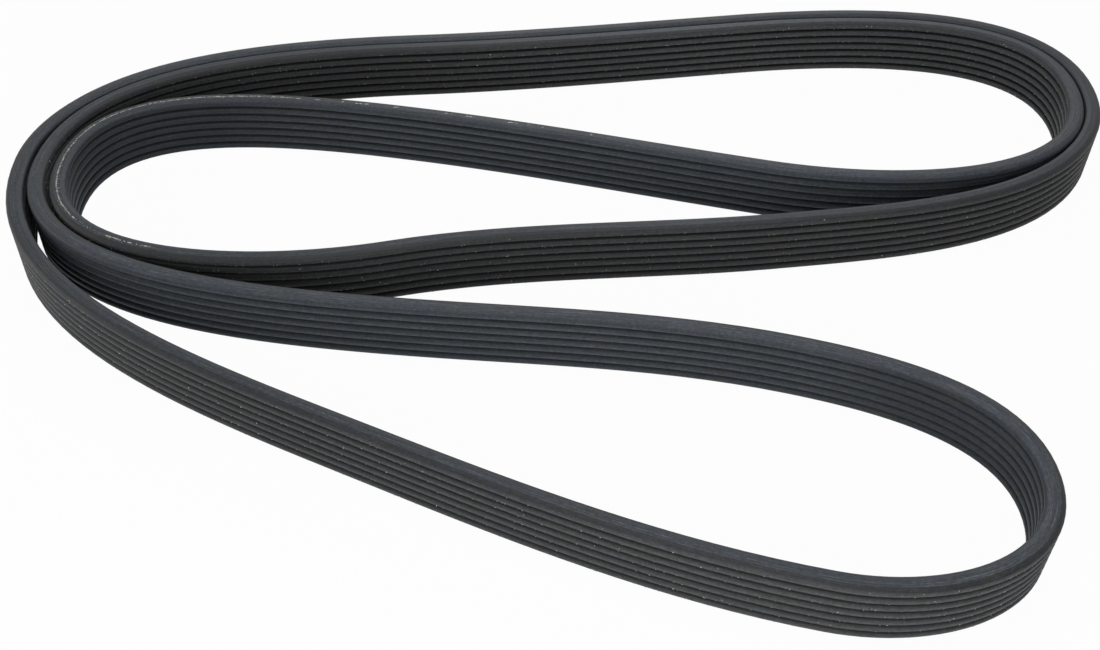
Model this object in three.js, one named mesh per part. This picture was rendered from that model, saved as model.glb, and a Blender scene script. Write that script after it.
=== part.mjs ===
// Serpentine belt for an engine's accessory drive: one endless loop of rubber with ribs on both
// faces, standing on its edge and folded into a long loop with a lobe. Millimetres, +Z up,
// origin under the middle of the folded belt.
import * as THREE from 'three';

// Belt section
const ribPitch = 3.56;
const ribCount = 7;
const ribHeight = 2.0;
const flankAngle = 20;
const bodyThickness = 2.4;

// Clearances between strands that lie side by side
const hugClearance = 0.4;
const innerBendClearance = 2.6;
const outerBendClearance = 1.2;

// Two lines across the folded belt, and where the lower strand of the eye crosses each
const leftLineX = -60;
const rightLineX = 85;
const leftEyeLevel = 15;
const rightEyeLevel = 36.5;

// Clear openings between neighbouring strands along those two lines
const leftEyeOpening = 79.5;
const rightEyeOpening = 27.5;
const leftBowOpening = 43;
const rightBowOpening = 98;
const leftWedgeOpening = 24;
const rightWedgeOpening = 60;
const leftLobeOpening = 53;
const rightLobeOpening = 91.5;

// Slope of each strand along those lines, in degrees, rising towards +X
const leftBowSlope = 6.5;
const rightBowSlope = 10.5;
const leftEyeTopSlope = -9;
const rightEyeTopSlope = -12;
const leftEyeBottomSlope = 16;
const rightEyeBottomSlope = 9.5;
const leftLobeTopSlope = -4.5;
const rightLobeTopSlope = -14;
const leftLobeBottomSlope = -24.5;
const rightLobeBottomSlope = -11;

// Reach of each bend past its line, and its level from the strand that runs into it
const upperRightReach = 137.5;
const upperRightRise = 60.5;
const lowerRightReach = 73;
const lowerRightDrop = 57;
const leftReach = 142;
const leftRise = 47.5;

// How far each bend leans from square across the belt, in degrees
const innerBendLean = -2;
const outerBendLean = 2;

// Share of the way round from its line to each bend's end where the outer strand lets go
const leftHugShare = 0.7;
const rightHugShare = 0.2;

// Station spacing along the belt: turn in degrees, and length
const stationTurn = 13;
const stationLength = 75;

const beltThickness = bodyThickness + 2 * ribHeight;
const beltWidth = ribCount * ribPitch;
const hugSpacing = beltThickness + hugClearance;

// A place on the belt's centre line with the heading of the belt there, in degrees from +X.
function pose(x, y, heading) {
  return { point: new THREE.Vector3(x, y, 0), heading: THREE.MathUtils.degToRad(heading) };
}

function direction(heading) {
  return new THREE.Vector3(Math.cos(heading), Math.sin(heading), 0);
}

function leftOf(tangent) {
  return new THREE.Vector3(-tangent.y, tangent.x, 0);
}

// The turn from one heading to another, the short way round.
function turnBetween(from, to) {
  const turn = to - from;
  return Math.atan2(Math.sin(turn), Math.cos(turn));
}

// A smooth piece of belt between two poses. The handles are as long as a circular arc's.
function bend(from, to) {
  const chord = to.point.clone().sub(from.point);
  const chordHeading = Math.atan2(chord.y, chord.x);
  const leave = turnBetween(chordHeading, from.heading);
  const arrive = turnBetween(chordHeading, to.heading);
  const handle = chord.length() / (3 * Math.cos((leave - arrive) / 4) ** 2);
  return new THREE.CubicBezierCurve3(
    from.point,
    from.point.clone().addScaledVector(direction(from.heading), handle),
    to.point.clone().addScaledVector(direction(to.heading), -handle),
    to.point,
  );
}

// Stations along a chain of poses: a point and the unit tangent there, closer together where
// the belt turns. The last pose is left for the chain that follows.
function stationsAlong(poses) {
  const stations = [];
  for (let i = 0; i + 1 < poses.length; i += 1) {
    const curve = bend(poses[i], poses[i + 1]);
    const turn = Math.abs(turnBetween(poses[i].heading, poses[i + 1].heading));
    const steps = Math.ceil(
      THREE.MathUtils.radToDeg(turn) / stationTurn + curve.getLength() / stationLength,
    );
    for (let step = 0; step < steps; step += 1) {
      const t = step / steps;
      stations.push({ point: curve.getPoint(t), tangent: curve.getTangent(t), piece: i, t });
    }
  }
  return stations;
}

// The same stations moved sideways, to the right of travel, and travelled the other way.
function besideInReverse(stations, spacing) {
  return stations.map(({ point, tangent }) => ({
    point: point.clone().addScaledVector(leftOf(tangent), -spacing),
    tangent: tangent.clone().negate(),
  })).reverse();
}

function poseAt(station) {
  return {
    point: station.point,
    heading: Math.atan2(station.tangent.y, station.tangent.x),
  };
}

// Levels of the strands along each line, from the bow at the back to the lobe at the front.
function levelsAlong(eyeLevel, eyeOpening, bowOpening, wedgeOpening, lobeOpening) {
  const eyeTop = eyeLevel + beltThickness + eyeOpening;
  const lobeTop = eyeLevel - beltThickness - wedgeOpening;
  return {
    bow: eyeTop + beltThickness + bowOpening,
    eyeTop,
    eyeBottom: eyeLevel,
    lobeTop,
    lobeBottom: lobeTop - beltThickness - lobeOpening,
  };
}

// The whole centre line of the belt, in the order in which the belt runs.
function beltStations() {
  const left = levelsAlong(
    leftEyeLevel, leftEyeOpening, leftBowOpening, leftWedgeOpening, leftLobeOpening);
  const right = levelsAlong(
    rightEyeLevel, rightEyeOpening, rightBowOpening, rightWedgeOpening, rightLobeOpening);
  const leftX = leftLineX - leftReach;
  const leftY = leftEyeLevel + leftRise;

  const eyeTopLeft = pose(leftLineX, left.eyeTop, leftEyeTopSlope);
  const leftOuter = pose(leftX - beltThickness - outerBendClearance, leftY, 90 + outerBendLean);
  const leftInner = pose(leftX + beltThickness + innerBendClearance, leftY, 90 + innerBendLean);

  const mainRun = stationsAlong([
    eyeTopLeft,
    pose(rightLineX, right.eyeTop, rightEyeTopSlope),
    pose(rightLineX + upperRightReach, right.eyeTop + upperRightRise, 90),
    pose(rightLineX, right.bow, 180 + rightBowSlope),
    pose(leftLineX, left.bow, 180 + leftBowSlope),
    pose(leftX, leftY, 270),
    pose(leftLineX, left.lobeTop, leftLobeTopSlope),
    pose(rightLineX, right.lobeTop, rightLobeTopSlope),
    pose(rightLineX + lowerRightReach, right.lobeTop - lowerRightDrop, 270),
    pose(rightLineX, right.lobeBottom, 180 + rightLobeBottomSlope),
    pose(leftLineX, left.lobeBottom, 180 + leftLobeBottomSlope),
    leftOuter,
  ]);

  const hugged = mainRun.filter(({ piece, t }) => (
    (piece === 1 && t > 1 - rightHugShare) || piece === 2 || piece === 3
    || (piece === 4 && t < leftHugShare)
  ));
  const outerRun = besideInReverse(hugged, hugSpacing);
  const outerStart = poseAt(outerRun[0]);
  const outerEnd = poseAt(outerRun[outerRun.length - 1]);

  const leftOuterRun = stationsAlong([leftOuter, outerStart]);
  const eyeRun = stationsAlong([
    outerEnd,
    pose(rightLineX, right.eyeBottom, 180 + rightEyeBottomSlope),
    pose(leftLineX, left.eyeBottom, 180 + leftEyeBottomSlope),
    leftInner,
    eyeTopLeft,
  ]);
  return [...mainRun, ...leftOuterRun, ...outerRun.slice(0, -1), ...eyeRun];
}

// Outline of the belt's section as [sideways, height] pairs, going round from the top edge:
// seven trapezoid ribs down one face, the flat bottom edge, and seven ribs up the other.
function beltSection() {
  const flank = ribHeight * Math.tan(THREE.MathUtils.degToRad(flankAngle));
  const root = bodyThickness / 2;
  const tip = root + ribHeight;
  const face = [[root, beltWidth]];
  for (let rib = 0; rib < ribCount; rib += 1) {
    const top = beltWidth - rib * ribPitch;
    const bottom = top - ribPitch;
    face.push([tip, top - flank], [tip, bottom + flank], [root, bottom]);
  }
  const otherFace = face.map(([sideways, height]) => [-sideways, height]).reverse();
  return [...face, ...otherFace];
}

// The closed skin of a section carried round a closed row of stations.
function sweepClosed(section, stations) {
  const positions = [];
  for (const { point, tangent } of stations) {
    const side = leftOf(tangent);
    for (const [sideways, height] of section) {
      const place = point.clone().addScaledVector(side, sideways);
      positions.push(place.x, place.y, height);
    }
  }
  const faces = [];
  for (let i = 0; i < stations.length; i += 1) {
    const here = i * section.length;
    const next = ((i + 1) % stations.length) * section.length;
    for (let j = 0; j < section.length; j += 1) {
      const k = (j + 1) % section.length;
      faces.push(here + j, next + k, here + k, here + j, next + j, next + k);
    }
  }
  const geometry = new THREE.BufferGeometry();
  geometry.setAttribute('position', new THREE.Float32BufferAttribute(positions, 3));
  geometry.setIndex(faces);
  return geometry;
}

function serpentineBelt() {
  const geometry = sweepClosed(beltSection(), beltStations());
  geometry.computeBoundingBox();
  const middle = geometry.boundingBox.getCenter(new THREE.Vector3());
  geometry.translate(-middle.x, -middle.y, 0);
  geometry.computeVertexNormals();
  const rubber = new THREE.MeshStandardMaterial({
    color: 0x2b2d30,
    roughness: 0.62,
    metalness: 0,
  });
  const belt = new THREE.Mesh(geometry, rubber);
  belt.name = 'serpentine_belt';
  return belt;
}

const model = new THREE.Group();
model.add(serpentineBelt());

export default model;
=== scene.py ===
"""Serpentine belt of an engine's accessory drive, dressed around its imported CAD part.

One endless loop of rubber with ribs on both faces stands on its edge, folded into a long loop
with a lobe. Everything is in metres, in the frame of the CAD part: +Z up, with the origin under
the middle of the folded belt.
"""

from __future__ import annotations

import logging
import math
from dataclasses import dataclass, field
from enum import Enum
from typing import Any, Mapping, Sequence, Union

import bpy
from mathutils import Matrix, Vector


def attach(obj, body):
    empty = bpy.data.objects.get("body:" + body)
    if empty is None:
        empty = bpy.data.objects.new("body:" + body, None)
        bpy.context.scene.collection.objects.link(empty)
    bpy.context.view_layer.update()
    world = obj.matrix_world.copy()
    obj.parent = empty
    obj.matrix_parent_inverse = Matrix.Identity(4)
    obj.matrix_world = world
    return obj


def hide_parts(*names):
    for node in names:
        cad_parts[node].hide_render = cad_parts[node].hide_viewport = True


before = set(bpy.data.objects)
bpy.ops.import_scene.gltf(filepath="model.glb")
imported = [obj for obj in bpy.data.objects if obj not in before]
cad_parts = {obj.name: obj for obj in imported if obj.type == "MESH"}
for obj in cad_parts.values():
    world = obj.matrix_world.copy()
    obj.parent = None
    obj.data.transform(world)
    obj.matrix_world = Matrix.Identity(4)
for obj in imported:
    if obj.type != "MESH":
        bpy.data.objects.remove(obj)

LOG = logging.getLogger("serpentine_belt")
MM = 0.001
PER_CENTIMETRE = 100
Colour = tuple[float, float, float]
Place = tuple[float, float, float]
Span = tuple[float, float]


# Node trees


class Value:
    """A socket of a node tree. Python operators on it add Math nodes to the tree."""

    def __init__(self, tree: "Tree", socket: bpy.types.NodeSocket) -> None:
        """Wraps a socket.

        Args:
            tree: The tree that the socket's node is in.
            socket: The output socket whose value this stands for.
        """
        self.tree = tree
        self.socket = socket

    def __add__(self, other: Operand) -> "Value":
        """Returns self + other."""
        return self.tree.maths("ADD", self, other)

    def __radd__(self, other: Operand) -> "Value":
        """Returns other + self."""
        return self.tree.maths("ADD", other, self)

    def __sub__(self, other: Operand) -> "Value":
        """Returns self - other."""
        return self.tree.maths("SUBTRACT", self, other)

    def __rsub__(self, other: Operand) -> "Value":
        """Returns other - self."""
        return self.tree.maths("SUBTRACT", other, self)

    def __mul__(self, other: Operand) -> "Value":
        """Returns self * other."""
        return self.tree.maths("MULTIPLY", self, other)

    def __rmul__(self, other: Operand) -> "Value":
        """Returns other * self."""
        return self.tree.maths("MULTIPLY", other, self)

    def __truediv__(self, other: Operand) -> "Value":
        """Returns self / other."""
        return self.tree.maths("DIVIDE", self, other)

    def __rtruediv__(self, other: Operand) -> "Value":
        """Returns other / self."""
        return self.tree.maths("DIVIDE", other, self)

    def __mod__(self, other: Operand) -> "Value":
        """Returns what is left of self after whole steps of other."""
        return self.tree.maths("FLOORED_MODULO", self, other)

    def __rmod__(self, other: Operand) -> "Value":
        """Returns what is left of other after whole steps of self."""
        return self.tree.maths("FLOORED_MODULO", other, self)

    def __lt__(self, other: Operand) -> "Value":
        """Returns 1 where self is less than other, and 0 elsewhere."""
        return self.tree.maths("LESS_THAN", self, other)

    def __gt__(self, other: Operand) -> "Value":
        """Returns 1 where self is greater than other, and 0 elsewhere."""
        return self.tree.maths("GREATER_THAN", self, other)

    def __abs__(self) -> "Value":
        """Returns the size of self without its sign."""
        return self.tree.maths("ABSOLUTE", self)

    def floor(self) -> "Value":
        """Returns the whole number at or below self."""
        return self.tree.maths("FLOOR", self)

    def part(self, axis: int) -> "Value":
        """Returns the X, Y or Z of self, by its index."""
        return self.tree.value("ShaderNodeSeparateXYZ", None, {0: self}, axis)

    def rise(self, start: float, end: float) -> "Value":
        """Works out a smooth step.

        Args:
            start: Where the rise starts.
            end: Where the rise ends. It may be less than start, for a fall.

        Returns:
            0 before start and 1 after end, with a smooth rise between them.
        """
        if end < start:
            return 1 - self.rise(end, start)
        return self.tree.value(
            "ShaderNodeMapRange",
            {"interpolation_type": "SMOOTHSTEP"},
            {0: self, 1: start, 2: end, 3: 0.0, 4: 1.0},
        )

    def swing(self, amount: Operand) -> "Value":
        """Returns a factor of 1 that follows noise in self up and down by half an amount."""
        return 1 + (self - 0.5) * amount

    def between(self, first: float, second: float) -> "Value":
        """Returns first where self is 0 and second where it is 1."""
        return first + (second - first) * self


Operand = Union[Value, float]


class Tree:
    """Adds nodes to one node tree and links them."""

    def __init__(self, tree: bpy.types.NodeTree) -> None:
        """Empties the tree.

        Args:
            tree: The node tree to fill.
        """
        self.tree = tree
        self.tree.nodes.clear()

    def node(
        self,
        kind: str,
        settings: Mapping[str, Any] | None = None,
        values: Mapping[int | str, Any] | None = None,
    ) -> bpy.types.Node:
        """Adds one node.

        Args:
            kind: The node's type.
            settings: The node's own settings, which are set first. "stops" holds the stops of a
                ramp, as (place, colour) pairs.
            values: What goes into the sockets, by index or name: a number, or a link.

        Returns:
            The new node.
        """
        node = self.tree.nodes.new(kind)
        for name, setting in (settings or {}).items():
            if name == "stops":
                self._set_stops(node.color_ramp, setting)
            else:
                setattr(node, name, setting)
        for key, value in (values or {}).items():
            if isinstance(value, Value):
                self.tree.links.new(value.socket, node.inputs[key])
            else:
                node.inputs[key].default_value = value
        return node

    def value(
        self,
        kind: str,
        settings: Mapping[str, Any] | None = None,
        values: Mapping[int | str, Any] | None = None,
        output: int | str = 0,
    ) -> Value:
        """Adds one node for the sake of one of its outputs.

        Args:
            kind: The node's type.
            settings: The node's own settings.
            values: What goes into the sockets.
            output: The output to return, by index or name.

        Returns:
            That output, ready for maths.
        """
        return Value(self, self.node(kind, settings, values).outputs[output])

    def maths(self, operation: str, *operands: Operand) -> Value:
        """Adds a Math node.

        Args:
            operation: The name of the operation.
            operands: What it works on.

        Returns:
            The result.
        """
        return self.value("ShaderNodeMath", {"operation": operation}, dict(enumerate(operands)))

    def mix(self, first: Value | Colour, second: Value | Colour, factor: Operand) -> Value:
        """Mixes two colours.

        Args:
            first: The colour at factor 0.
            second: The colour at factor 1.
            factor: How much of the second colour shows.

        Returns:
            The mixed colour.
        """
        ends = [end if isinstance(end, Value) else (*end, 1.0) for end in (first, second)]
        return self.value(
            "ShaderNodeMix", {"data_type": "RGBA"}, {0: factor, 6: ends[0], 7: ends[1]}, 2
        )

    def vector(self, x: Operand, y: Operand, z: Operand) -> Value:
        """Returns the vector (x, y, z)."""
        return self.value("ShaderNodeCombineXYZ", None, {0: x, 1: y, 2: z})

    def scaled(self, vector: Value, factor: Operand) -> Value:
        """Scales a vector or colour.

        Args:
            vector: The vector or colour.
            factor: What it is multiplied by.

        Returns:
            The product.
        """
        return self.value(
            "ShaderNodeVectorMath", {"operation": "SCALE"}, {0: vector, "Scale": factor}
        )

    def noise(
        self,
        place: Value,
        scale: float,
        detail: float = 2.0,
        roughness: float = 0.5,
        output: int = 0,
    ) -> Value:
        """Adds a noise texture.

        Args:
            place: The place at which it is read.
            scale: How many features it has in a metre.
            detail: How many finer layers it has.
            roughness: How strong the finer layers are.
            output: 0 for its level, or 1 for its colour.

        Returns:
            The noise, from 0 to 1.
        """
        values = {"Vector": place, "Scale": scale, "Detail": detail, "Roughness": roughness}
        return self.value("ShaderNodeTexNoise", None, values, output)

    @staticmethod
    def _set_stops(ramp: bpy.types.ColorRamp, stops: Sequence[tuple[float, Colour]]) -> None:
        """Gives a ramp its stops.

        Args:
            ramp: The ramp to change.
            stops: Its stops, as (place, colour) pairs in order.
        """
        while len(ramp.elements) > 1:
            ramp.elements.remove(ramp.elements[-1])
        for index, (place, colour) in enumerate(stops):
            element = ramp.elements[0] if index == 0 else ramp.elements.new(place)
            element.position = place
            element.color = (*colour, 1.0)


class ShapeTree(Tree):
    """A Geometry Nodes tree that turns one mesh into another, with named inputs for its sizes."""

    kinds = {float: "Float", int: "Int", tuple: "Vector", bpy.types.Material: "Material"}

    def __init__(self, name: str, sizes: Mapping[str, Any]) -> None:
        """Makes the tree and an input for each size.

        Args:
            name: The tree's name.
            sizes: The values of its inputs by name, with the material as "Material". The mesh
                that comes in is one more input.
        """
        group = bpy.data.node_groups.new(name, "GeometryNodeTree")
        super().__init__(group)
        self.sizes = sizes
        kinds = {label: self.kinds[type(size)] for label, size in sizes.items()}
        for label, kind in {"Mesh": "Geometry", **kinds}.items():
            group.interface.new_socket(label, in_out="INPUT", socket_type=f"NodeSocket{kind}")
        group.interface.new_socket("Mesh", in_out="OUTPUT", socket_type="NodeSocketGeometry")
        self.entry = self.node("NodeGroupInput")

    def given(self, label: str) -> Value:
        """Returns the input of that name."""
        return Value(self, self.entry.outputs[label])

    def joined(self, *parts: Value) -> Value:
        """Joins several parts.

        Args:
            parts: The parts, in order.

        Returns:
            All of them as one.
        """
        node = self.node("GeometryNodeJoinGeometry")
        for part in reversed(parts):
            self.tree.links.new(part.socket, node.inputs[0])
        return Value(self, node.outputs[0])

    def finish(self, geometry: Value) -> None:
        """Ends the tree in Realize Instances and Set Material.

        Args:
            geometry: What the tree has made.
        """
        real = self.value("GeometryNodeRealizeInstances", None, {0: geometry})
        dressed = self.value(
            "GeometryNodeSetMaterial", None, {0: real, "Material": self.given("Material")}
        )
        self.node("NodeGroupOutput", None, {0: dressed})

    def grow(self, name: str, seed: bpy.types.Mesh) -> bpy.types.Object:
        """Runs the tree on a mesh and keeps the result as a plain mesh.

        Args:
            name: The name of the new piece.
            seed: The mesh that goes in.

        Returns:
            The new piece, at the origin.
        """
        carrier = bpy.data.objects.new(f"{name}_seed", seed)
        bpy.context.scene.collection.objects.link(carrier)
        modifier = carrier.modifiers.new("shape", "NODES")
        modifier.node_group = self.tree
        for item in self.tree.interface.items_tree:
            if item.item_type == "SOCKET" and item.in_out == "INPUT" and item.name in self.sizes:
                modifier[item.identifier] = self.sizes[item.name]
        depsgraph = bpy.context.evaluated_depsgraph_get()
        mesh = bpy.data.meshes.new_from_object(
            carrier.evaluated_get(depsgraph), preserve_all_data_layers=True, depsgraph=depsgraph
        )
        bpy.data.objects.remove(carrier)
        mesh.name = name
        piece = bpy.data.objects.new(name, mesh)
        bpy.context.scene.collection.objects.link(piece)
        return piece


def new_material(name: str) -> tuple[bpy.types.Material, Tree]:
    """Makes a material with an empty tree.

    Args:
        name: The material's name.

    Returns:
        The material and its tree.
    """
    material = bpy.data.materials.new(name)
    material.use_nodes = True
    return material, Tree(material.node_tree)


# Route of the centre line


@dataclass(frozen=True)
class Station:
    """A place on the belt's centre line, with the way the belt runs there."""

    point: Vector
    heading: float

    @property
    def tangent(self) -> Vector:
        """The unit vector along the belt."""
        return Vector((math.cos(self.heading), math.sin(self.heading)))

    @property
    def left(self) -> Vector:
        """The unit vector to the left of travel."""
        return Vector((-math.sin(self.heading), math.cos(self.heading)))

    def beside(self, spacing: float) -> "Station":
        """Returns the station beside this one, spacing to the left, with the same heading."""
        return Station(self.point + self.left * spacing, self.heading)

    def beside_in_reverse(self, spacing: float) -> "Station":
        """Returns the station spacing to the right of this one that is travelled the other way."""
        return Station(self.point - self.left * spacing, self.heading + math.pi)


def pose(x: float, y: float, degrees: float) -> Station:
    """Returns the station at (x, y) with a heading in degrees from +X."""
    return Station(Vector((x, y)), math.radians(degrees))


def turn_between(start: float, end: float) -> float:
    """Returns the turn from one heading to another, the short way round, in radians."""
    return math.atan2(math.sin(end - start), math.cos(end - start))


class Bend:
    """A smooth piece of belt between two stations: a cubic whose handles suit a circular arc."""

    trial_steps = 16

    def __init__(self, start: Station, end: Station) -> None:
        """Works out the four points of the cubic.

        Args:
            start: Where the piece starts.
            end: Where it ends.
        """
        chord = end.point - start.point
        along = math.atan2(chord.y, chord.x)
        leave = turn_between(along, start.heading)
        arrive = turn_between(along, end.heading)
        handle = chord.length / (3 * math.cos((leave - arrive) / 4) ** 2)
        self.points = (
            start.point,
            start.point + start.tangent * handle,
            end.point - end.tangent * handle,
            end.point,
        )
        self.turn = abs(turn_between(start.heading, end.heading))

    def station(self, share: float) -> Station:
        """Finds a station.

        Args:
            share: The share of the way, from 0 to 1.

        Returns:
            The station there.
        """
        a, b, c, d = self.points
        rest = 1 - share
        point = a * rest**3 + b * 3 * rest**2 * share + c * 3 * rest * share**2 + d * share**3
        way = (b - a) * rest**2 + (c - b) * 2 * rest * share + (d - c) * share**2
        return Station(point, math.atan2(way.y, way.x))

    def stations(
        self, step_turn: float, step_length: float, first: float = 0.0, last: float = 1.0
    ) -> list[Station]:
        """Shares out the stations along some of the way.

        Args:
            step_turn: The most that the belt turns from one station to the next, in radians.
            step_length: The most length between two stations.
            first: The share of the way at which they start.
            last: The share of the way at which they end.

        Returns:
            The stations, without the one at the end.
        """
        steps = self.trial_steps
        trial = [self.station(step / steps).point for step in range(steps + 1)]
        length = sum((after - before).length for before, after in zip(trial, trial[1:]))
        count = math.ceil((self.turn / step_turn + length / step_length) * (last - first))
        return [self.station(first + (last - first) * step / count) for step in range(count)]


@dataclass(frozen=True)
class FoldLine:
    """A line across the folded belt, with the clear openings and the strands' slopes along it."""

    x: float
    eye_level: float
    eye_opening: float
    bow_opening: float
    wedge_opening: float
    lobe_opening: float
    bow_slope: float
    eye_top_slope: float
    eye_bottom_slope: float
    lobe_top_slope: float
    lobe_bottom_slope: float

    def eye_top(self, thickness: float) -> float:
        """Returns the level of the eye's upper strand."""
        return self.eye_level + thickness + self.eye_opening

    def bow(self, thickness: float) -> float:
        """Returns the level of the bow's strand."""
        return self.eye_top(thickness) + thickness + self.bow_opening

    def lobe_top(self, thickness: float) -> float:
        """Returns the level of the lobe's upper strand."""
        return self.eye_level - thickness - self.wedge_opening

    def lobe_bottom(self, thickness: float) -> float:
        """Returns the level of the lobe's lower strand."""
        return self.lobe_top(thickness) - thickness - self.lobe_opening


LEFT_LINE = FoldLine(
    x=-60 * MM,
    eye_level=15 * MM,
    eye_opening=79.5 * MM,
    bow_opening=43 * MM,
    wedge_opening=24 * MM,
    lobe_opening=53 * MM,
    bow_slope=6.5,
    eye_top_slope=-9,
    eye_bottom_slope=16,
    lobe_top_slope=-4.5,
    lobe_bottom_slope=-24.5,
)
RIGHT_LINE = FoldLine(
    x=85 * MM,
    eye_level=36.5 * MM,
    eye_opening=27.5 * MM,
    bow_opening=98 * MM,
    wedge_opening=60 * MM,
    lobe_opening=91.5 * MM,
    bow_slope=10.5,
    eye_top_slope=-12,
    eye_bottom_slope=9.5,
    lobe_top_slope=-14,
    lobe_bottom_slope=-11,
)


@dataclass(frozen=True)
class BeltRoute:
    """The belt's centre line, folded as in the CAD part."""

    left_line: FoldLine = LEFT_LINE
    right_line: FoldLine = RIGHT_LINE
    upper_right_reach: float = 137.5 * MM
    upper_right_rise: float = 60.5 * MM
    lower_right_reach: float = 73 * MM
    lower_right_drop: float = 57 * MM
    left_reach: float = 142 * MM
    left_rise: float = 47.5 * MM
    bend_lean: float = 2.0
    hug_clearance: float = 0.4 * MM
    inner_bend_clearance: float = 2.6 * MM
    outer_bend_clearance: float = 1.2 * MM
    hug_from: float = 9 / 11
    hug_to: float = 2 / 3
    outline_middle: tuple[float, float] = (9.851 * MM, 29.305 * MM)
    step_turn: float = math.radians(5.6)
    step_length: float = 11 * MM

    def stations(self, thickness: float) -> list[Station]:
        """Lays the belt round its fold.

        Args:
            thickness: How thick the belt is over its ribs.

        Returns:
            The stations of the whole loop, in the order in which the belt runs.
        """
        left, right = self.left_line, self.right_line
        left_x = left.x - self.left_reach
        left_y = left.eye_level + self.left_rise
        outer_x = left_x - thickness - self.outer_bend_clearance
        inner_x = left_x + thickness + self.inner_bend_clearance

        eye_top_left = pose(left.x, left.eye_top(thickness), left.eye_top_slope)
        left_outer = pose(outer_x, left_y, 90 + self.bend_lean)
        left_inner = pose(inner_x, left_y, 90 - self.bend_lean)
        main_run = self._bends([
            eye_top_left,
            pose(right.x, right.eye_top(thickness), right.eye_top_slope),
            pose(
                right.x + self.upper_right_reach,
                right.eye_top(thickness) + self.upper_right_rise,
                90,
            ),
            pose(right.x, right.bow(thickness), 180 + right.bow_slope),
            pose(left.x, left.bow(thickness), 180 + left.bow_slope),
            pose(left_x, left_y, 270),
            pose(left.x, left.lobe_top(thickness), left.lobe_top_slope),
            pose(right.x, right.lobe_top(thickness), right.lobe_top_slope),
            pose(
                right.x + self.lower_right_reach,
                right.lobe_top(thickness) - self.lower_right_drop,
                270,
            ),
            pose(right.x, right.lobe_bottom(thickness), 180 + right.lobe_bottom_slope),
            pose(left.x, left.lobe_bottom(thickness), 180 + left.lobe_bottom_slope),
            left_outer,
        ])

        hugged = [
            *self._along([main_run[1]], first=self.hug_from),
            *self._along(main_run[2:4]),
            *self._along([main_run[4]], last=self.hug_to),
            main_run[4].station(self.hug_to),
        ]
        spacing = thickness + self.hug_clearance
        outer = [station.beside_in_reverse(spacing) for station in reversed(hugged)]
        eye_run = self._bends([
            outer[-1],
            pose(right.x, right.eye_level, 180 + right.eye_bottom_slope),
            pose(left.x, left.eye_level, 180 + left.eye_bottom_slope),
            left_inner,
            eye_top_left,
        ])
        loop = [
            *self._along(main_run),
            *self._along([Bend(left_outer, outer[0])]),
            *outer[:-1],
            *self._along(eye_run),
        ]
        middle = Vector(self.outline_middle)
        return [Station(station.point - middle, station.heading) for station in loop]

    @staticmethod
    def _bends(poses: Sequence[Station]) -> list[Bend]:
        """Returns the bends that join each pose to the next."""
        return [Bend(start, end) for start, end in zip(poses, poses[1:])]

    def _along(
        self, bends: Sequence[Bend], first: float = 0.0, last: float = 1.0
    ) -> list[Station]:
        """Shares out the stations along some bends.

        Args:
            bends: The bends, in order.
            first: The share of each bend at which they start.
            last: The share of each bend at which they end.

        Returns:
            The stations, without the one at the very end.
        """
        return [
            station
            for bend in bends
            for station in bend.stations(self.step_turn, self.step_length, first, last)
        ]


# Finishes


@dataclass(frozen=True)
class Shade:
    """How light the rubber is at one place along the loop, as a share of its lightest.

    The shades were fitted to the photograph's measured brightness along the belt and rounded. So
    they are partly painted light and shade that fell on the belt, and partly the rubber's own
    variation. With every lightness at 1, the whole loop has the same shade.
    """

    place: float
    lightness: float


# Painted light and shade along the loop, with the rubber's own variation.
PAINTED_LIGHT_AND_TONE = (
    Shade(0.0, 0.8),
    Shade(0.06, 1.0),
    Shade(0.1, 0.85),
    Shade(0.17, 0.95),
    Shade(0.23, 0.47),
    Shade(0.31, 0.95),
    Shade(0.42, 0.95),
    Shade(0.54, 0.64),
    Shade(0.58, 0.61),
    Shade(0.62, 0.85),
    Shade(0.66, 0.82),
    Shade(0.77, 0.43),
    Shade(0.85, 0.7),
    Shade(0.9, 0.58),
    Shade(0.93, 0.65),
    Shade(1.0, 0.8),
)


@dataclass(frozen=True)
class RibPaintedShade:
    """Painted shade across a rib: how light it is from its upper groove, at 0, to its lower one, at
    1.
    """

    start: float
    rise: Span
    drop: float = 0.0
    fall: Span = (0.0, 1.0)

    def over(self, across: Value) -> Value:
        """Returns the painted shade at a place across the rib."""
        tone = self.start + (1 - self.start) * across.rise(*self.rise)
        return tone * (1 - self.drop * across.rise(*self.fall)) if self.drop else tone


@dataclass(frozen=True)
class Streaks:
    """Noise that is drawn out along the belt, by its features in 10 mm each way."""

    along: float
    across: float

    def over(self, tree: Tree, loop: Value, sideways: Value, level: Value) -> Value:
        """Works out the noise, which closes on itself round the loop.

        Args:
            tree: The material's tree.
            loop: The belt's length wound on a circle, which has no seam.
            sideways: The distance from the centre line.
            level: The height above the floor.

        Returns:
            The noise, from 0 to 1.
        """
        density = self.across * PER_CENTIMETRE
        wound = tree.scaled(loop, self.along * PER_CENTIMETRE)
        raised = tree.vector(0.0, 0.0, level * density)
        place = tree.value("ShaderNodeVectorMath", {"operation": "ADD"}, {0: wound, 1: raised})
        return tree.value(
            "ShaderNodeTexNoise",
            {"noise_dimensions": "4D"},
            {"Vector": place, "W": sideways * density, "Scale": 1.0, "Detail": 3.0},
        )


@dataclass(frozen=True)
class RubberSurface:
    """What the rubber's colours are worked out from at each point of its surface.

    face is 1 on the left face and 0 on the right one, edge is 1 on the cut edges, and seam is 1
    on the moulding lines there. inside and outside are 1 on the inner and outer faces of bends,
    where they carry painted shade.
    """

    place: Value
    level: Value
    sideways: Value
    loop: Value
    face: Value
    edge: Value
    seam: Value
    inside: Value
    outside: Value
    streaks: Value
    fine_streaks: Value
    long_streaks: Value
    clouds: Value
    grain: Value


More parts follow.
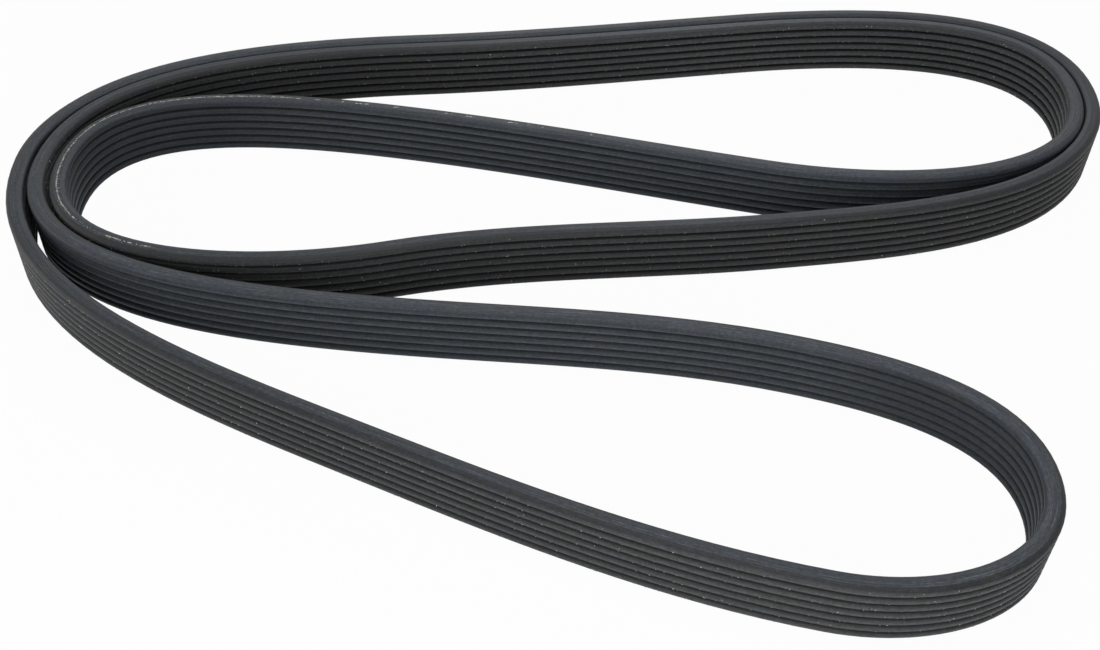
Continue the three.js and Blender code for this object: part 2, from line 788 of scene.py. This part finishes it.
@dataclass(frozen=True)
class RubberFinish:
    """Fibre-filled black rubber: neutral ribs on the left face, bluish on the right one."""

    name: str = "belt_rubber"

    left_rib: Colour = (0.092, 0.096, 0.100)
    right_rib: Colour = (0.099, 0.116, 0.136)
    # The cut edge's left flanks: their own tint, darkened as painted shade on that side.
    left_flank_tint_and_shade: Colour = (0.025, 0.0275, 0.0315)
    cut_edge: Colour = (0.045, 0.053, 0.065)
    seam_line: Colour = (0.097, 0.103, 0.113)
    bluish_tint: Colour = (0.034, 0.044, 0.066)
    brownish_tint: Colour = (0.070, 0.066, 0.052)
    tint_share: float = 0.2
    # Painted light and shade along the loop, with the rubber's own variation.
    shades: tuple[Shade, ...] = PAINTED_LIGHT_AND_TONE

    # Painted shade across each rib of each face, dark at its upper groove and lighter lower down.
    left_rib_painted_shade: RibPaintedShade = RibPaintedShade(0.25, (0.0, 0.62), 0.42, (0.62, 0.82))
    right_rib_painted_shade: RibPaintedShade = RibPaintedShade(0.33, (0.15, 0.8))
    # The right face's painted shade across its ribs, evened out to this level inside bends.
    inside_bend_rib_shade: float = 0.58
    # Painted shade in the grooves: how light each face is at a groove's root.
    left_groove_painted_shade: float = 0.15
    right_groove_painted_shade: float = 0.9
    painted_groove_shade_span: Span = (0.3, 0.97)

    # Painted shade on the inner faces of bends, by face, and the bends it spans, in turn per metre.
    left_inside_bend_shade: float = 0.28
    right_inside_bend_shade: float = 0.46
    inside_bend_shade_span: Span = (0.5, 9.0)
    # Painted shade on the cut edge's flanks on the outer faces of bends: how dark it goes, over
    # which bends and where across the edge.
    stretch: float = 0.4
    outside_bend_shade_span: Span = (3.0, 20.0)
    painted_flank_shade_span: Span = (0.9 * MM, 2.4 * MM)

    face_blend: float = 0.3 * MM
    edge_span: Span = (0.95 * MM, 0.75 * MM)
    side_seam_span: Span = (0.16 * MM, 0.05 * MM)
    side_seam_share: float = 0.6
    middle_seam_place: float = 0.2 * MM
    middle_seam_span: Span = (0.2 * MM, 0.1 * MM)
    seam_break: Span = (0.35, 0.6)

    streaks: Streaks = Streaks(1.0, 14.0)
    fine_streaks: Streaks = Streaks(6.0, 30.0)
    long_streaks: Streaks = Streaks(0.6, 24.0)
    cloud_scale: float = 55.0
    tint_scale: float = 130.0
    grain_scale: float = 950.0

    cloud_swing: float = 0.32
    edge_swing: float = 0.4
    rib_grain: float = 2.1
    edge_grain: float = 1.7
    rib_streaks: float = 1.2
    edge_streaks: float = 2.2
    edge_long_streaks: float = 1.5

    roughness: float = 0.62
    cloud_roughness: float = 0.16
    grain_roughness: float = 0.2
    edge_smoothness: float = 0.08
    specular_level: float = 0.25
    grain_height: float = 0.6
    streak_height: float = 0.4
    seam_depth: float = 0.5
    bump_strength: float = 0.35
    bump_distance: float = 0.06 * MM

    def material(self, section: "BeltSection") -> bpy.types.Material:
        """Makes the material.

        Args:
            section: The belt's section, whose sizes place the bands.

        Returns:
            The material.
        """
        material, tree = new_material(self.name)
        surface = self._surface(tree, section)
        colour = tree.mix(
            self._ribs(tree, surface, section), self._edges(tree, surface, section), surface.edge
        )
        tint = tree.noise(surface.place, self.tint_scale)
        colour = tree.mix(colour, self.bluish_tint, self.tint_share * tint.rise(0.5, 0.75))
        colour = tree.mix(colour, self.brownish_tint, self.tint_share * tint.rise(0.5, 0.25))
        colour = tree.scaled(colour, self._painted_light_and_tone(tree, surface) * self._wear(surface))
        height = self.grain_height * surface.grain + self.streak_height * surface.fine_streaks
        bump = tree.value(
            "ShaderNodeBump",
            None,
            {
                "Strength": self.bump_strength,
                "Distance": self.bump_distance,
                "Height": height - self.seam_depth * surface.seam,
            },
        )
        shader = tree.value(
            "ShaderNodeBsdfPrincipled",
            None,
            {
                "Base Color": colour,
                "Roughness": self._roughness(surface),
                "Normal": bump,
                "Specular IOR Level": self.specular_level,
            },
        )
        tree.node("ShaderNodeOutputMaterial", None, {"Surface": shader})
        return material

    def _surface(self, tree: Tree, section: "BeltSection") -> RubberSurface:
        """Reads the place, the attributes and the noise at each point of the surface.

        Args:
            tree: The material's tree.
            section: The belt's section.

        Returns:
            What the colours are worked out from.
        """
        place = tree.value("ShaderNodeTexCoord", None, None, "Object")
        level = place.part(2)
        sideways = tree.value("ShaderNodeAttribute", {"attribute_name": "sideways"}, None, 2)
        loop = tree.value("ShaderNodeAttribute", {"attribute_name": "loop"}, None, 1)
        bend = tree.value("ShaderNodeAttribute", {"attribute_name": "bend"}, None, 2)
        face = sideways.rise(-self.face_blend, self.face_blend)
        lower, full = self.edge_span
        edge = level.rise(section.width - lower, section.width - full) + level.rise(lower, full)
        side = abs(abs(sideways) - section.body_thickness / 2).rise(*self.side_seam_span)
        middle = abs(sideways - self.middle_seam_place).rise(*self.middle_seam_span)
        return RubberSurface(
            place=place,
            level=level,
            sideways=sideways,
            loop=loop,
            face=face,
            edge=edge,
            seam=edge * (side * self.side_seam_share + middle),
            inside=(bend * (2 * face - 1)).rise(*self.inside_bend_shade_span),
            outside=(bend * (1 - 2 * face)).rise(*self.outside_bend_shade_span),
            streaks=self.streaks.over(tree, loop, sideways, level),
            fine_streaks=self.fine_streaks.over(tree, loop, sideways, level),
            long_streaks=self.long_streaks.over(tree, loop, sideways, level),
            clouds=tree.noise(place, self.cloud_scale, detail=3.0),
            grain=tree.noise(place, self.grain_scale, detail=4.0, roughness=0.7),
        )

    def _ribs(self, tree: Tree, surface: RubberSurface, section: "BeltSection") -> Value:
        """Works out the ribs' colour, with painted shade in the grooves, across each rib and on the
        inner faces of bends.

        Args:
            tree: The material's tree.
            surface: What it is worked out from.
            section: The belt's section.

        Returns:
            The colour.
        """
        face = surface.face
        colour = tree.mix(self.right_rib, self.left_rib, face)
        # Painted shade on the inner faces of bends.
        inside_bend_shade = face.between(self.right_inside_bend_shade, self.left_inside_bend_shade)
        colour = tree.scaled(colour, 1 - inside_bend_shade * surface.inside)
        depth = (abs(surface.sideways) - section.body_thickness / 2) / section.rib_height
        # Painted shade in the grooves, darkest at their roots.
        groove = face.between(self.right_groove_painted_shade, self.left_groove_painted_shade)
        groove = groove + (1 - groove) * depth.rise(*self.painted_groove_shade_span)
        across = ((section.width - surface.level) / section.rib_pitch) % 1
        # Painted shade across each rib.
        right = self.right_rib_painted_shade.over(across)
        # Inside bends, the right face's painted shade across each rib is evened out to one level.
        right = right + surface.inside * (self.inside_bend_rib_shade - right)
        return tree.scaled(
            colour, groove * (self.left_rib_painted_shade.over(across) * face + right * (1 - face))
        )

    def _edges(self, tree: Tree, surface: RubberSurface, section: "BeltSection") -> Value:
        """Works out the cut edges' colour, with their moulding lines, streaks and painted shade on
        their flanks.

        Args:
            tree: The material's tree.
            surface: What it is worked out from.
            section: The belt's section.

        Returns:
            The colour.
        """
        root = section.body_thickness / 2
        # The cut edge's left flanks are darker, partly as painted shade.
        left_flank_shade_mask = surface.sideways.rise(root, root + self.face_blend)
        colour = tree.mix(self.cut_edge, self.left_flank_tint_and_shade, left_flank_shade_mask)
        seam = surface.seam * surface.streaks.rise(*self.seam_break)
        colour = tree.mix(colour, self.seam_line, seam)
        # Painted shade on the cut edge's flanks, on the outer faces of bends.
        flank = abs(surface.sideways).rise(*self.painted_flank_shade_span)
        painted_flank_shade = 1 - self.stretch * surface.outside * flank
        return tree.scaled(colour, surface.streaks.swing(self.edge_swing) * painted_flank_shade)

    def _wear(self, surface: RubberSurface) -> Value:
        """Works out how much lighter or darker clouds, grain and streaks make the rubber.

        Args:
            surface: What it is worked out from.

        Returns:
            The factor.
        """
        edge = surface.edge
        wear = surface.clouds.swing(self.cloud_swing)
        wear = wear * surface.grain.swing(edge.between(self.rib_grain, self.edge_grain))
        wear = wear * surface.fine_streaks.swing(edge.between(self.rib_streaks, self.edge_streaks))
        return wear * surface.long_streaks.swing(self.edge_long_streaks * edge)

    def _roughness(self, surface: RubberSurface) -> Value:
        """Works out the roughness, which is a little less on the cut edges.

        Args:
            surface: What it is worked out from.

        Returns:
            The roughness.
        """
        roughness = self.roughness + self.cloud_roughness * (surface.clouds - 0.5)
        roughness = roughness + self.grain_roughness * (surface.grain - 0.5)
        return roughness - self.edge_smoothness * surface.edge

    def _painted_light_and_tone(self, tree: Tree, surface: RubberSurface) -> Value:
        """Works out the painted light and shade along the loop, with the rubber's own variation.

        Args:
            tree: The material's tree.
            surface: What it is worked out from.

        Returns:
            The shade.
        """
        turn = tree.maths("ARCTAN2", surface.loop.part(1), surface.loop.part(0))
        stops = [(shade.place, (shade.lightness,) * 3) for shade in self.shades]
        return tree.value(
            "ShaderNodeValToRGB", {"stops": stops}, {0: (turn / (2 * math.pi)) % 1}
        )


@dataclass(frozen=True)
class PlainFinish:
    """A finish with a little grain, for small pieces."""

    name: str
    colour: Colour
    roughness: float
    grain_scale: float
    contrast: float

    def material(self) -> bpy.types.Material:
        """Makes the material.

        Returns:
            The material.
        """
        material, tree = new_material(self.name)
        place = tree.value("ShaderNodeTexCoord", None, None, "Object")
        grain = tree.noise(place, self.grain_scale)
        dark = tuple(part * (1 - self.contrast) for part in self.colour)
        colour = tree.mix(dark, self.colour, grain.rise(0.38, 0.62))
        shader = tree.value(
            "ShaderNodeBsdfPrincipled", None, {"Base Color": colour, "Roughness": self.roughness}
        )
        tree.node("ShaderNodeOutputMaterial", None, {"Surface": shader})
        return material


# Pieces


class Face(Enum):
    """A ribbed face of the belt, by its side of travel and the sign of "sideways" there."""

    LEFT = 1.0
    RIGHT = -1.0


class Draw(Enum):
    """A random draw that a tree makes, by what it adds to the piece's seed."""

    FUZZ = 3
    TURN = 5
    SIZE = 9


@dataclass(frozen=True)
class BeltSection:
    """The belt's section: seven trapezoid ribs on each face of a thin body."""

    rib_pitch: float = 3.56 * MM
    rib_count: int = 7
    rib_height: float = 2.0 * MM
    flank_angle: float = math.radians(20)
    body_thickness: float = 2.4 * MM
    tip_radius: float = 0.8 * MM
    root_radius: float = 0.2 * MM
    edge_radius: float = 1.5 * MM
    corner_points: int = 3
    edge_points: int = 6

    @property
    def thickness(self) -> float:
        """The thickness over the ribs of both faces."""
        return self.body_thickness + 2 * self.rib_height

    @property
    def width(self) -> float:
        """The width over all the ribs, which is the belt's height as it stands."""
        return self.rib_count * self.rib_pitch

    def sizes(self) -> dict[str, Any]:
        """Lists the section's sizes.

        Returns:
            The values of the shape tree's inputs.
        """
        return {
            "Body Thickness": self.body_thickness,
            "Rib Height": self.rib_height,
            "Rib Pitch": self.rib_pitch,
            "Rib Count": self.rib_count,
            "Flank Width": self.rib_height * math.tan(self.flank_angle),
            "Tip Radius": self.tip_radius,
            "Root Radius": self.root_radius,
            "Edge Radius": self.edge_radius,
            "Corner Points": self.corner_points,
            "Edge Points": self.edge_points,
        }


def rail_mesh(name: str, stations: Sequence[Station], closed: bool = True) -> bpy.types.Mesh:
    """Makes a chain of edges through some stations, on the floor.

    Its "bend" attribute is the turn to the left for each metre there, in radians.

    Args:
        name: The mesh's name.
        stations: The stations, in order.
        closed: Whether the last one is joined to the first.

    Returns:
        The mesh.
    """
    mesh = bpy.data.meshes.new(name)
    count = len(stations)
    edges = [(step, (step + 1) % count) for step in range(count if closed else count - 1)]
    mesh.from_pydata([(place.point.x, place.point.y, 0.0) for place in stations], edges, [])
    bend = mesh.attributes.new("bend", "FLOAT", "POINT")
    for step in range(count):
        before, after = stations[step - 1], stations[(step + 1) % count]
        turn = turn_between(before.heading, after.heading)
        bend.data[step].value = turn / (after.point - before.point).length
    return mesh


def loop_length(stations: Sequence[Station]) -> float:
    """Measures the closed line through some stations.

    Args:
        stations: The stations, in order.

    Returns:
        Its length.
    """
    return sum(
        (stations[step].point - stations[step - 1].point).length for step in range(len(stations))
    )


@dataclass
class BeltSkin:
    """The belt itself: the ribbed section carried once round the route."""

    section: BeltSection = field(default_factory=BeltSection)
    route: BeltRoute = field(default_factory=BeltRoute)
    finish: RubberFinish = field(default_factory=RubberFinish)

    def build(self) -> bpy.types.Object:
        """Builds the belt and puts it in the place of its CAD node.

        Returns:
            The belt, as one closed mesh.
        """
        stations = self.route.stations(self.section.thickness)
        rail = rail_mesh("belt_rail", stations)
        length = loop_length(stations)
        material = self.finish.material(self.section)
        sizes = {**self.section.sizes(), "Loop Length": length, "Material": material}
        belt = self._shape_tree(sizes).grow("belt", rail)
        bpy.data.meshes.remove(rail)
        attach(belt, "root")
        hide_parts("serpentine_belt")
        LOG.info("belt: %d stations, %.1f mm round, %d faces", len(stations), length / MM,
                 len(belt.data.polygons))
        return belt

    def _shape_tree(self, sizes: Mapping[str, Any]) -> ShapeTree:
        """Makes the tree that draws the section and carries it round the rail.

        Args:
            sizes: The values of its inputs.

        Returns:
            The tree.
        """
        tree = ShapeTree("belt_shape", sizes)
        rail = tree.value("GeometryNodeMeshToCurve", None, {0: tree.given("Mesh")})
        rail = tree.value("GeometryNodeSetCurveNormal", {"mode": "Z_UP"}, {0: rail})
        angle = tree.value("GeometryNodeSplineParameter") * (2 * math.pi)
        ring = tree.given("Loop Length") / (2 * math.pi)
        across, up = ring * tree.maths("COSINE", angle), ring * tree.maths("SINE", angle)
        wound = tree.vector(across, up, 0.0)
        rail = tree.value(
            "GeometryNodeStoreNamedAttribute",
            {"data_type": "FLOAT_VECTOR", "domain": "POINT"},
            {0: rail, "Name": "loop", "Value": wound},
        )
        outline = self._outline(tree)
        skin = tree.value("GeometryNodeCurveToMesh", None, {0: rail, "Profile Curve": outline})
        skin = tree.value("GeometryNodeFlipFaces", None, {0: skin})
        skin = tree.value("GeometryNodeSetShadeSmooth", None, {0: skin, "Shade Smooth": True})
        tree.finish(skin)
        return tree

    @staticmethod
    def _outline(tree: ShapeTree) -> Value:
        """Draws the section, with a rounded corner at each of its points.

        The points run down the left face, three to a rib, and back up the right one. Carried
        along the rail, the outline's X points to the right of travel and its Y points down.
        Whole numbers are compared with halves, which no rounding reaches.

        Args:
            tree: The belt's shape tree.

        Returns:
            The closed outline, with its "sideways" attribute.
        """
        flank = tree.given("Flank Width")
        ribs = tree.given("Rib Count")
        per_face = ribs * 3 + 1
        index = tree.value("GeometryNodeInputIndex")
        left = index < per_face - 0.5
        here = left * index + (1 - left) * (per_face * 2 - 1 - index)
        corner = here % 3
        rib = (here / 3 + 0.01).floor()
        at_tip = corner > 0.5
        lower = corner > 1.5
        reach = tree.given("Body Thickness") / 2 + at_tip * tree.given("Rib Height")
        sideways = (left * 2 - 1) * reach
        level = (ribs - rib - lower) * tree.given("Rib Pitch") + flank * (2 * lower - at_tip)
        at_end = at_tip * ((here < 1.5) + (here > per_face - 2.5))
        radius = tree.given("Root Radius") * (1 - at_tip) + tree.given("Tip Radius") * at_tip
        radius = radius * (1 - at_end) + tree.given("Edge Radius") * at_end
        count = tree.given("Corner Points") * (1 - at_end) + tree.given("Edge Points") * at_end

        points = tree.value("GeometryNodeMeshLine", {"mode": "OFFSET"}, {"Count": per_face * 2})
        outline = tree.value("GeometryNodeMeshToCurve", None, {0: points})
        corners = tree.vector(0 - sideways, 0 - level, 0.0)
        outline = tree.value("GeometryNodeSetPosition", None, {0: outline, "Position": corners})
        outline = tree.value("GeometryNodeSetSplineCyclic", None, {0: outline, "Cyclic": True})
        outline = tree.value(
            "GeometryNodeFilletCurve",
            {"mode": "POLY"},
            {0: outline, "Count": count, "Radius": radius, "Limit Radius": True},
        )
        position = tree.value("GeometryNodeInputPosition")
        return tree.value(
            "GeometryNodeStoreNamedAttribute",
            {"data_type": "FLOAT", "domain": "POINT"},
            {0: outline, "Name": "sideways", "Value": 0 - position.part(0)},
        )


@dataclass
class FibreEnds:
    """Ends of the short fibres in the rubber, which stand out of one face's rib corners."""

    section: BeltSection = field(default_factory=BeltSection)
    face: Face = Face.LEFT
    corner_density: float = 3.0e5
    tip_density: float = 2.0e4
    tip_margin: float = 0.5 * MM
    corner_tilt: float = -0.15
    flat_tilt: float = 0.5
    least_lean: float = 0.7
    most_lean: float = 1.45
    length: float = 0.62 * MM
    width: float = 0.36 * MM
    seed: int = 11
    finish: PlainFinish = PlainFinish("fibre_ends", (0.7, 0.71, 0.68), 0.75, 900.0, 0.5)

    def build(self, belt: bpy.types.Object) -> bpy.types.Object:
        """Scatters the fibre ends over the belt.

        Args:
            belt: The belt that they stand on.

        Returns:
            All the fibre ends, as one mesh.
        """
        sizes = {
            "Face Sign": self.face.value,
            "Corner Density": self.corner_density,
            "Tip Density": self.tip_density,
            "Tip Level": self.section.thickness / 2 - self.tip_margin,
            "Length": self.length,
            "Width": self.width,
            "Seed": self.seed,
            "Material": self.finish.material(),
        }
        ends = self._shape_tree(sizes).grow("fibre_ends", belt.data)
        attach(ends, "root")
        LOG.info("fibre ends: %d faces", len(ends.data.polygons))
        return ends

    def _shape_tree(self, sizes: Mapping[str, Any]) -> ShapeTree:
        """Makes the tree that scatters slivers over the rib corners of one face.

        Args:
            sizes: The values of its inputs.

        Returns:
            The tree.
        """
        tree = ShapeTree("fibre_end_shape", sizes)
        sideways = tree.value(
            "GeometryNodeInputNamedAttribute", {"data_type": "FLOAT"}, {"Name": "sideways"}
        )
        tilt = tree.value("GeometryNodeInputNormal").part(2)
        outer = sideways * tree.given("Face Sign") > tree.given("Tip Level")
        kinds = (
            (outer * (tilt < self.corner_tilt), "Corner Density"),
            (outer * (abs(tilt) < self.flat_tilt), "Tip Density"),
        )
        parts = []
        for index, (where, density) in enumerate(kinds):
            scatter = tree.node(
                "GeometryNodeDistributePointsOnFaces",
                {"distribute_method": "RANDOM"},
                {
                    0: tree.given("Mesh"),
                    "Selection": where,
                    "Density": tree.given(density),
                    "Seed": tree.given("Seed") + index,
                },
            )
            parts.append(slivers(
                tree,
                Value(tree, scatter.outputs["Points"]),
                Value(tree, scatter.outputs["Rotation"]),
                (self.least_lean, 0.0, 0.0),
                (self.most_lean, 0.0, 2 * math.pi),
            ))
        tree.finish(tree.joined(*parts))
        return tree


def slivers(
    tree: ShapeTree, points: Value, rotation: Value, least_turn: Place, most_turn: Place
) -> Value:
    """Puts one small sliver on each point, at random sizes and turns.

    Args:
        tree: The tree, with inputs called Length, Width and Seed.
        points: The points.
        rotation: The rotation at each point, before the random turn.
        least_turn: The least turn about each axis, in radians.
        most_turn: The most turn about each axis.

    Returns:
        The slivers.
    """
    ball = tree.value("GeometryNodeMeshIcoSphere", None, {"Radius": 0.5, "Subdivisions": 1})
    turn = tree.value(
        "FunctionNodeRandomValue",
        {"data_type": "FLOAT_VECTOR"},
        {0: least_turn, 1: most_turn, "Seed": tree.given("Seed") + Draw.TURN.value},
    )
    turned = tree.value(
        "FunctionNodeRotateRotation",
        {"rotation_space": "LOCAL"},
        {0: rotation, 1: tree.value("FunctionNodeEulerToRotation", None, {0: turn})},
    )
    smallest, largest, flatness = 0.35, 1.05, 0.8
    size = tree.value(
        "FunctionNodeRandomValue",
        {"data_type": "FLOAT"},
        {2: smallest, 3: largest, "Seed": tree.given("Seed") + Draw.SIZE.value},
        1,
    )
    width = tree.given("Width") * size
    scale = tree.vector(width, width * flatness, tree.given("Length") * size * size)
    return tree.value(
        "GeometryNodeInstanceOnPoints",
        None,
        {0: points, "Instance": ball, "Rotation": turned, "Scale": scale},
    )


@dataclass
class ExposedCord:
    """A pale tension cord that shows along the middle of the cut edge, in one stretch.

    Near the start of the stretch it is worn away in places, with its loose fibres left, and
    towards the end only short dashes of it show.
    """

    section: BeltSection = field(default_factory=BeltSection)
    route: BeltRoute = field(default_factory=BeltRoute)
    first: float = 0.917
    last: float = 1.03
    worn_span: Span = (0.13, 0.06)
    worn_level: float = 0.45
    dash_span: Span = (0.58, 0.67)
    dash_level: float = 0.47
    dash_scale: float = 160.0
    sideways: float = 0.2 * MM
    radius: float = 0.36 * MM
    bedding: float = 0.45
    sides: int = 7
    step: float = 0.36 * MM
    sink: float = 1.2 * MM
    waver: float = 0.4 * MM
    waver_scale: float = 110.0
    least_fuzz: Place = (-0.85 * MM, -0.85 * MM, -0.05 * MM)
    most_fuzz: Place = (0.85 * MM, 0.85 * MM, 0.25 * MM)
    lean: float = 0.9
    length: float = 1.2 * MM
    width: float = 0.28 * MM
    seed: int = 4
    finish: PlainFinish = PlainFinish("cord_yarn", (0.46, 0.47, 0.43), 0.8, 1100.0, 0.75)

    def build(self) -> bpy.types.Object:
        """Builds the stretch of cord with its loose fibres.

        Returns:
            The cord, as one mesh.
        """
        stations = self.route.stations(self.section.thickness)
        stretch = [station.beside(self.sideways) for station in self._stretch(stations)]
        rail = rail_mesh("cord_rail", stretch, closed=False)
        sizes = {
            "Edge Level": self.section.width,
            "Cord Radius": self.radius,
            "Step": self.step,
            "Sink": self.sink,
            "Waver": self.waver,
            "Least Fuzz": self.least_fuzz,
            "Most Fuzz": self.most_fuzz,
            "Length": self.length,
            "Width": self.width,
            "Seed": self.seed,
            "Material": self.finish.material(),
        }
        cord = self._shape_tree(sizes).grow("edge_cord", rail)
        bpy.data.meshes.remove(rail)
        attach(cord, "root")
        LOG.info("edge cord: %d faces", len(cord.data.polygons))
        return cord

    def _stretch(self, stations: Sequence[Station]) -> list[Station]:
        """Picks the stations of the stretch, which runs on across the loop's start.

        Args:
            stations: The stations of the whole loop.

        Returns:
            Those from its start to its end.
        """
        total = loop_length(stations)
        chosen: list[Station] = []
        run = 0.0
        for index in range(2 * len(stations)):
            here = stations[index % len(stations)]
            if self.first <= run / total <= self.last:
                chosen.append(here)
            run += (stations[(index + 1) % len(stations)].point - here.point).length
        return chosen

    def _shape_tree(self, sizes: Mapping[str, Any]) -> ShapeTree:
        """Makes the tree that lays a wavering cord in the edge, with loose fibres on it.

        Args:
            sizes: The values of its inputs.

        Returns:
            The tree.
        """
        tree = ShapeTree("edge_cord_shape", sizes)
        sink = tree.given("Sink")
        place = tree.value("GeometryNodeInputPosition")
        share = tree.value("GeometryNodeSplineParameter")
        patches = tree.noise(place, self.dash_scale)
        dashes = share.rise(*self.dash_span) * (patches > self.dash_level)
        worn = share.rise(*self.worn_span) * (patches > self.worn_level)

        line = tree.value("GeometryNodeMeshToCurve", None, {0: tree.given("Mesh")})
        line = tree.value(
            "GeometryNodeResampleCurve", {"mode": "LENGTH"}, {0: line, "Length": tree.given("Step")}
        )
        shift = tree.noise(place, self.waver_scale, detail=3.0, output=1)
        waver = tree.given("Waver")
        lift = tree.given("Edge Level") - tree.given("Cord Radius") * self.bedding - dashes * sink
        offset = tree.vector(
            (shift.part(0) - 0.5) * waver * 2,
            (shift.part(1) - 0.5) * waver * 2,
            lift + (shift.part(2) - 0.5) * waver,
        )
        line = tree.value("GeometryNodeSetPosition", None, {0: line, "Offset": offset})
        drop = tree.vector(0.0, 0.0, 0 - worn * sink)
        core = tree.value("GeometryNodeSetPosition", None, {0: line, "Offset": drop})
        ring = tree.value(
            "GeometryNodeCurvePrimitiveCircle",
            None,
            {"Resolution": self.sides, "Radius": tree.given("Cord Radius")},
        )
        cord = tree.value(
            "GeometryNodeCurveToMesh", None, {0: core, "Profile Curve": ring, "Fill Caps": True}
        )
        cord = tree.value("GeometryNodeSetShadeSmooth", None, {0: cord, "Shade Smooth": True})
        tangent = tree.value("GeometryNodeInputTangent")
        along = tree.value("FunctionNodeAlignRotationToVector", {"axis": "Z"}, {2: tangent})
        fuzz = tree.value(
            "FunctionNodeRandomValue",
            {"data_type": "FLOAT_VECTOR"},
            {
                0: tree.given("Least Fuzz"),
                1: tree.given("Most Fuzz"),
                "Seed": tree.given("Seed") + Draw.FUZZ.value,
            },
        )
        strands = tree.value("GeometryNodeSetPosition", None, {0: line, "Offset": fuzz})
        lean = self.lean
        loose = slivers(tree, strands, along, (-lean, -lean, 0.0), (lean, lean, 0.0))
        tree.finish(tree.joined(cord, loose))
        return tree


# Studio


@dataclass(frozen=True)
class Lamp:
    """A soft square lamp that points at the origin, with its side in metres and its watts."""

    name: str
    place: Place
    side: float
    power: float

    def hang(self) -> None:
        """Hangs the lamp in the scene."""
        light = bpy.data.lights.new(self.name, "AREA")
        light.size = self.side
        light.energy = self.power
        lamp = bpy.data.objects.new(self.name, light)
        lamp.location = self.place
        lamp.rotation_euler = Vector(self.place).to_track_quat("Z", "Y").to_euler()
        bpy.context.scene.collection.objects.link(lamp)


@dataclass
class Studio:
    """A plain pale floor and soft light, with the camera at the photograph's angle."""

    elevation: float = math.radians(44.015)
    roll: float = math.radians(1.465)
    distance: float = 488.37 * MM
    aim: Place = (-9.89 * MM, -29.29 * MM, 0.0)
    focal_pixels: float = 1309.3
    image_width: int = 1100
    sensor: float = 36.0
    clip: Span = (0.01, 50.0)
    background_share: float = 0.97
    floor_grey: float = 0.7
    floor_half: float = 6.0
    floor_gap: float = 0.05 * MM
    lamps: tuple[Lamp, ...] = (
        Lamp("key_lamp", (0.08, 0.05, 1.2), 0.45, 5.2),
        Lamp("left_lamp", (-1.2, 0.0, 0.35), 0.7, 5.1),
        Lamp("back_lamp", (0.1, 1.5, 1.0), 0.9, 6.4),
        Lamp("front_lamp", (0.0, -0.6, 0.25), 0.35, 1.9),
    )

    def build(self) -> None:
        """Sets up the floor, the world, the lamps and the camera."""
        self._floor()
        self._world()
        for lamp in self.lamps:
            lamp.hang()
        self._camera()
        bpy.context.scene.view_settings.view_transform = "Standard"
        LOG.info("studio: %d lamps", len(self.lamps))

    def _floor(self) -> None:
        """Lays a plain pale floor just under the belt, which looks nearly white to the camera."""
        mesh = bpy.data.meshes.new("floor")
        half = self.floor_half
        corners = [(-half, -half), (half, -half), (half, half), (-half, half)]
        mesh.from_pydata([(x, y, -self.floor_gap) for x, y in corners], [], [(0, 1, 2, 3)])
        floor = bpy.data.objects.new("floor", mesh)
        bpy.context.scene.collection.objects.link(floor)
        material, tree = new_material("floor_paint")
        paint = tree.value("ShaderNodeBsdfDiffuse", None, {"Color": (*(self.floor_grey,) * 3, 1.0)})
        glow = tree.value("ShaderNodeEmission", None, {"Strength": 1.0})
        shown = tree.value(
            "ShaderNodeMixShader",
            None,
            {0: self._seen(tree) * self.background_share, 1: paint, 2: glow},
        )
        tree.node("ShaderNodeOutputMaterial", None, {"Surface": shown})
        mesh.materials.append(material)

    def _world(self) -> None:
        """Makes the world white to the camera, and dark as a light, which is left to the lamps."""
        world = bpy.data.worlds.new("studio_world")
        world.use_nodes = True
        tree = Tree(world.node_tree)
        white = (1.0, 1.0, 1.0, 1.0)
        sky = tree.value(
            "ShaderNodeBackground", None, {"Color": white, "Strength": self._seen(tree)}
        )
        tree.node("ShaderNodeOutputWorld", None, {"Surface": sky})
        bpy.context.scene.world = world

    @staticmethod
    def _seen(tree: Tree) -> Value:
        """Tells what is looked at from what is lit.

        Args:
            tree: The tree of the floor's or the world's material.

        Returns:
            1 for rays that the camera sees directly, in a reflection or through glass.
        """
        path = tree.node("ShaderNodeLightPath")
        seen = Value(tree, path.outputs["Is Camera Ray"])
        for other in ("Is Glossy Ray", "Is Transmission Ray"):
            seen = tree.maths("MAXIMUM", seen, Value(tree, path.outputs[other]))
        return seen

    def _camera(self) -> None:
        """Puts the camera at the photograph's angle, distance and roll."""
        forward = Vector((0.0, math.cos(self.elevation), -math.sin(self.elevation)))
        right = Vector((1.0, 0.0, 0.0))
        up = right.cross(forward)
        rolled_right = right * math.cos(self.roll) + up * math.sin(self.roll)
        rolled_up = up * math.cos(self.roll) - right * math.sin(self.roll)
        data = bpy.data.cameras.new("photo_camera")
        data.sensor_fit = "HORIZONTAL"
        data.sensor_width = self.sensor
        data.lens = self.sensor * self.focal_pixels / self.image_width
        data.clip_start, data.clip_end = self.clip
        camera = bpy.data.objects.new("photo_camera", data)
        turn = Matrix((rolled_right, rolled_up, -forward)).transposed()
        stand = Matrix.Translation(Vector(self.aim) - forward * self.distance)
        camera.matrix_world = stand @ turn.to_4x4()
        bpy.context.scene.collection.objects.link(camera)
        bpy.context.scene.camera = camera


# Main


def main() -> None:
    """Builds the pieces in order and reports each one."""
    logging.basicConfig(level=logging.INFO, format="%(name)s: %(message)s")
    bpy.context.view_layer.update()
    belt = BeltSkin().build()
    FibreEnds().build(belt)
    ExposedCord().build()
    Studio().build()


if __name__ == "__main__":
    main()
